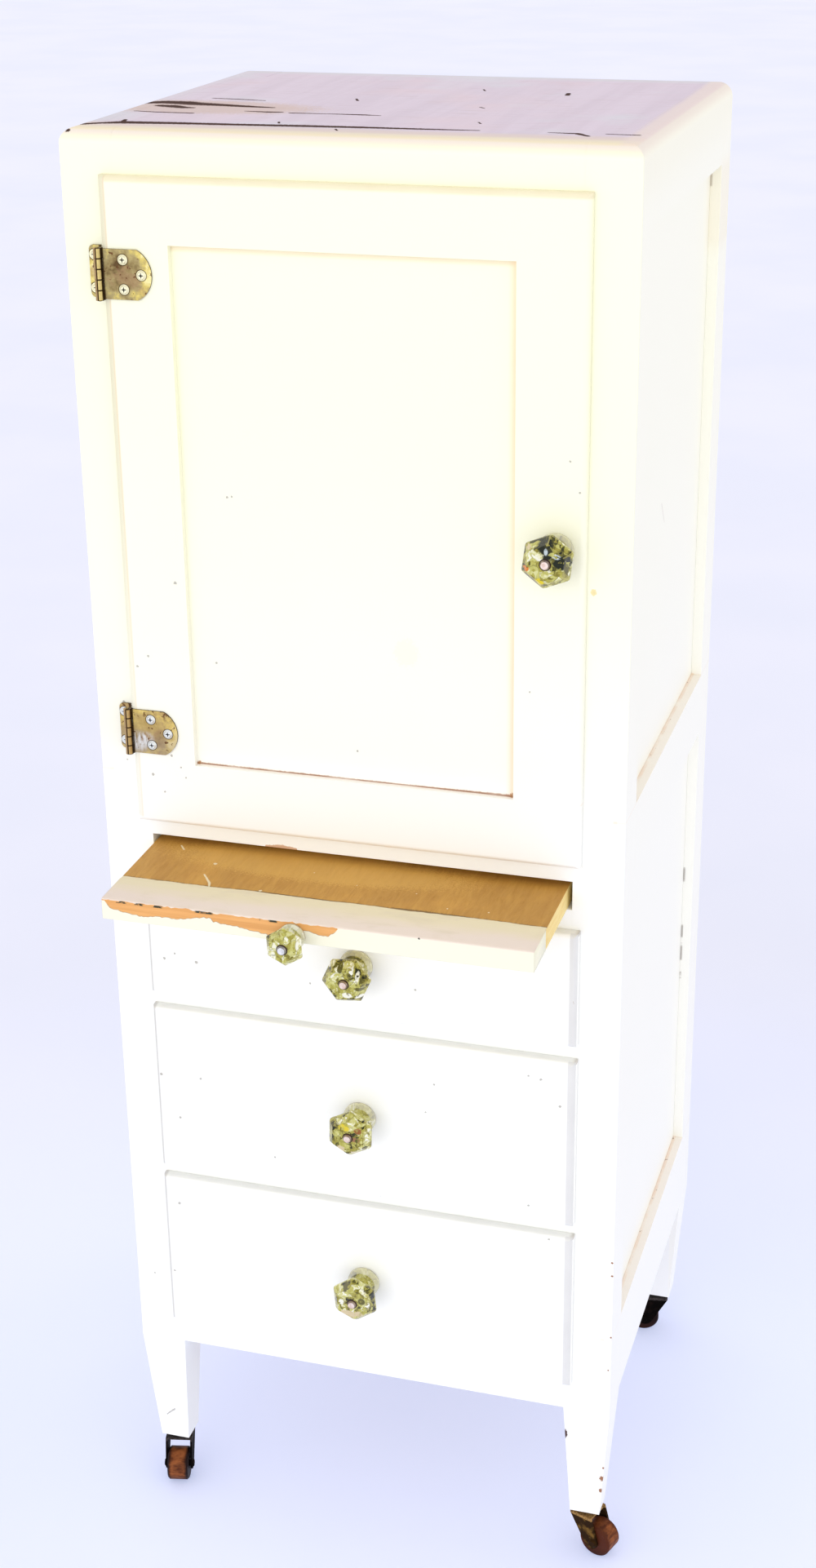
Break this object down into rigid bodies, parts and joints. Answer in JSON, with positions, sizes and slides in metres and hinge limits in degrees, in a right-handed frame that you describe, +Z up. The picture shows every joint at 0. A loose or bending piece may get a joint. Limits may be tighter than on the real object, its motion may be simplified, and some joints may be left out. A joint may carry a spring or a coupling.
{
  "type": "cupboard on casters",
  "caption": "Narrow painted wooden cupboard on casters with a lipped door, a pull-out board, lipped drawers and faceted glass knobs.",
  "frame": {"origin": "on the floor, under the centre of the box round the whole object as it stands with its board drawn out", "axes": "+Z up, +X to the right seen from the front, -Y towards the front"},
  "size_m": [0.4656, 0.5404, 1.295],
  "materials": {
    "painted_wood": "old cream paint over wood, eggshell sheen, chipped at corners and edges",
    "painted_top": "thin worn lilac-grey paint over cracked boards",
    "bare_wood": "unfinished pine and plywood",
    "board_wood": "worn varnished hardwood",
    "hinge_brass": "tarnished brass plate with brown edges",
    "screw_steel": "bright zinc-plated steel",
    "caster_iron": "dark browned steel with traces of brass plating",
    "knob_glass": "pressed faceted glass, faint yellow-green tint",
    "wheel_wood": "turned red-brown hardwood, waxed"
  },
  "bodies": {
    "cabinet": {"post_front_left": "painted_wood", "post_front_right": "painted_wood", "post_rear_left": "painted_wood", "post_rear_right": "painted_wood", "rail_top_front": "painted_wood", "face_rails": "painted_wood", "rail_bottom_front": "painted_wood", "rails_back": "painted_wood", "side_rails_left": "painted_wood", "side_rails_right": "painted_wood", "side_panels_left": "painted_wood", "side_panels_right": "painted_wood", "back_panel": "bare_wood", "top_boards": "painted_top", "cupboard_floor": "bare_wood", "shelf": "bare_wood", "shelf_cleats": "bare_wood", "board_runners": "bare_wood", "drawer_runners": "bare_wood", "runner_guides": "bare_wood", "hinge_frame_leaves": "hinge_brass", "hinge_pins": "hinge_brass", "hinge_frame_screws": "screw_steel", "caster_sockets": "screw_steel"},
    "door": {"door_stiles": "painted_wood", "door_rails": "painted_wood", "door_panel": "painted_wood", "hinge_door_leaves": "hinge_brass", "hinge_door_screws": "screw_steel", "door_knob": "knob_glass", "door_knob_bolt": "screw_steel", "door_catch": "hinge_brass"},
    "board": {"board_panel": "board_wood", "board_front_band": "painted_wood", "board_knob": "knob_glass", "board_knob_screw": "screw_steel"},
    "drawer_1": {"drawer_1_front": "painted_wood", "drawer_1_sides": "bare_wood", "drawer_1_bottom": "bare_wood", "drawer_1_knob": "knob_glass", "drawer_1_bolt": "screw_steel"},
    "drawer_2": {"drawer_2_front": "painted_wood", "drawer_2_sides": "bare_wood", "drawer_2_bottom": "bare_wood", "drawer_2_knob": "knob_glass", "drawer_2_bolt": "screw_steel"},
    "drawer_3": {"drawer_3_front": "painted_wood", "drawer_3_sides": "bare_wood", "drawer_3_bottom": "bare_wood", "drawer_3_knob": "knob_glass", "drawer_3_bolt": "screw_steel"},
    "swivel_fl": {"caster_fork_fl": "caster_iron"},
    "wheel_fl": {"caster_wheel_fl": "wheel_wood"},
    "swivel_fr": {"caster_fork_fr": "caster_iron"},
    "wheel_fr": {"caster_wheel_fr": "wheel_wood"},
    "swivel_rl": {"caster_fork_rl": "caster_iron"},
    "wheel_rl": {"caster_wheel_rl": "wheel_wood"},
    "swivel_rr": {"caster_fork_rr": "caster_iron"},
    "wheel_rr": {"caster_wheel_rr": "wheel_wood"}
  },
  "joints": [
    {"name": "door_hinge", "type": "hinge", "parent": "cabinet", "child": "door", "pos_m": [-0.1965, -0.13745, 1.187], "axis": [0, 0, -1], "range_deg": [0, 165]},
    {"name": "board_slide", "type": "slide", "parent": "cabinet", "child": "board", "axis": [0, -1, 0], "range_m": [-0.11, 0.12]},
    {"name": "drawer_1_slide", "type": "slide", "parent": "cabinet", "child": "drawer_1", "axis": [0, -1, 0], "range_m": [0, 0.26]},
    {"name": "drawer_2_slide", "type": "slide", "parent": "cabinet", "child": "drawer_2", "axis": [0, -1, 0], "range_m": [0, 0.26]},
    {"name": "drawer_3_slide", "type": "slide", "parent": "cabinet", "child": "drawer_3", "axis": [0, -1, 0], "range_m": [0, 0.26]},
    {"name": "caster_fl_swivel", "type": "hinge", "parent": "cabinet", "child": "swivel_fl", "pos_m": [-0.2055, -0.10325, 0.043], "axis": [0, 0, 1], "continuous": true},
    {"name": "caster_fl_roll", "type": "hinge", "parent": "swivel_fl", "child": "wheel_fl", "pos_m": [-0.20224, -0.11738, 0.016], "axis": [0.9744, 0.225, 0], "continuous": true},
    {"name": "caster_fr_swivel", "type": "hinge", "parent": "cabinet", "child": "swivel_fr", "pos_m": [0.2055, -0.10325, 0.043], "axis": [0, 0, 1], "continuous": true},
    {"name": "caster_fr_roll", "type": "hinge", "parent": "swivel_fr", "child": "wheel_fr", "pos_m": [0.21913, -0.10821, 0.016], "axis": [0.342, 0.9397, 0], "continuous": true},
    {"name": "caster_rl_swivel", "type": "hinge", "parent": "cabinet", "child": "swivel_rl", "pos_m": [-0.2055, 0.24875, 0.043], "axis": [0, 0, 1], "continuous": true},
    {"name": "caster_rl_roll", "type": "hinge", "parent": "swivel_rl", "child": "wheel_rl", "pos_m": [-0.20802, 0.23447, 0.016], "axis": [0.9848, -0.1736, 0], "continuous": true},
    {"name": "caster_rr_swivel", "type": "hinge", "parent": "cabinet", "child": "swivel_rr", "pos_m": [0.2055, 0.24875, 0.043], "axis": [0, 0, 1], "continuous": true},
    {"name": "caster_rr_roll", "type": "hinge", "parent": "swivel_rr", "child": "wheel_rr", "pos_m": [0.19122, 0.24623, 0.016], "axis": [0.1736, -0.9848, 0], "continuous": true}
  ]
}
